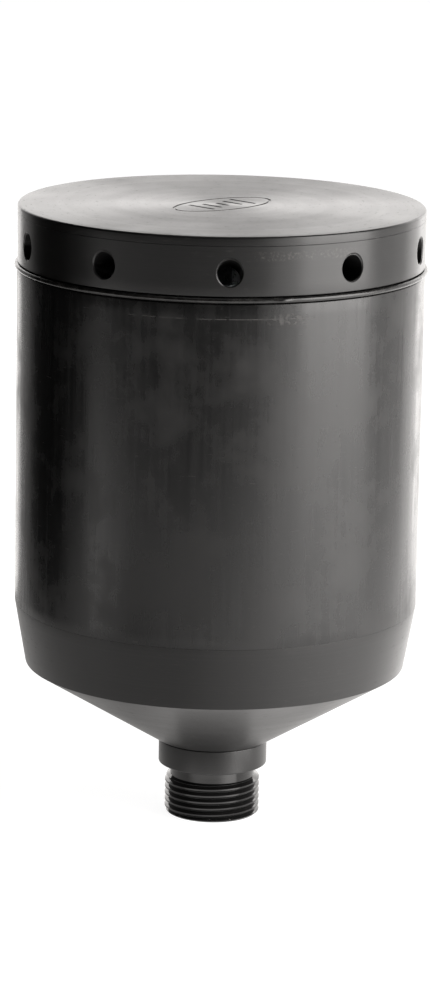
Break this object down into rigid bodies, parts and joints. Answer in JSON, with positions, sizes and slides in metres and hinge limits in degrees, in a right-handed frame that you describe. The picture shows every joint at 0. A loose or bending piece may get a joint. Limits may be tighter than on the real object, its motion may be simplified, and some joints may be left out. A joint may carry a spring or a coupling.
{
  "type": "pneumatic muffler",
  "caption": "Black plastic exhaust muffler: pipe housing, coned base with a male pipe thread, and a flat screw cap with slanted exhaust holes round its skirt.",
  "frame": {"origin": "centre of the inlet spigot's end face", "axes": "+Z along the muffler's axis, from the inlet thread up to the cap; -Y is the front"},
  "size_m": [0.1418, 0.1418, 0.216],
  "materials": {
    "turned_polyethylene": "turned black polyethylene, satin, with fine tool marks",
    "extruded_polyethylene": "extruded black polyethylene pipe, glossy, with die lines and scuffs",
    "seal_rubber": "smooth black nitrile rubber",
    "stainless_steel": "mill-finish stainless sheet",
    "zinc_plated_steel": "bright zinc-plated steel",
    "absorber_felt": "pressed grey needle felt"
  },
  "bodies": {
    "housing": {"inlet_stud": "turned_polyethylene", "inlet_base": "turned_polyethylene", "body_tube": "extruded_polyethylene", "base_seal_ring": "seal_rubber", "plate_gasket": "seal_rubber", "lower_end_plate": "stainless_steel", "cross_bar": "stainless_steel", "diffuser_tube": "stainless_steel", "outer_sleeve": "stainless_steel", "upper_end_plate": "stainless_steel", "tie_rod": "zinc_plated_steel", "lower_washer": "zinc_plated_steel", "lower_rod_nut": "zinc_plated_steel", "upper_washer": "zinc_plated_steel", "spring_washer": "zinc_plated_steel", "upper_rod_nut": "zinc_plated_steel", "absorber_ring_1": "absorber_felt", "absorber_ring_2": "absorber_felt", "absorber_ring_3": "absorber_felt", "absorber_ring_4": "absorber_felt", "absorber_ring_5": "absorber_felt", "plate_screw_1": "zinc_plated_steel", "plate_screw_2": "zinc_plated_steel", "plate_screw_3": "zinc_plated_steel"},
    "seal": {"cap_seal_ring": "seal_rubber"},
    "cap": {"top_cap": "turned_polyethylene"}
  },
  "joints": [
    {"name": "cap_lift", "type": "slide", "parent": "housing", "child": "seal", "axis": [0, 0, 1], "range_m": [0, 0.0101]},
    {"name": "cap_turn", "type": "hinge", "parent": "seal", "child": "cap", "pos_m": [0, 0, 0.2], "axis": [0, 0, 1], "range_deg": [0, 720]}
  ],
  "couplings": [
    {"joint": "cap_lift", "follows": "cap_turn", "m_per_rad": 0.00079577}
  ]
}
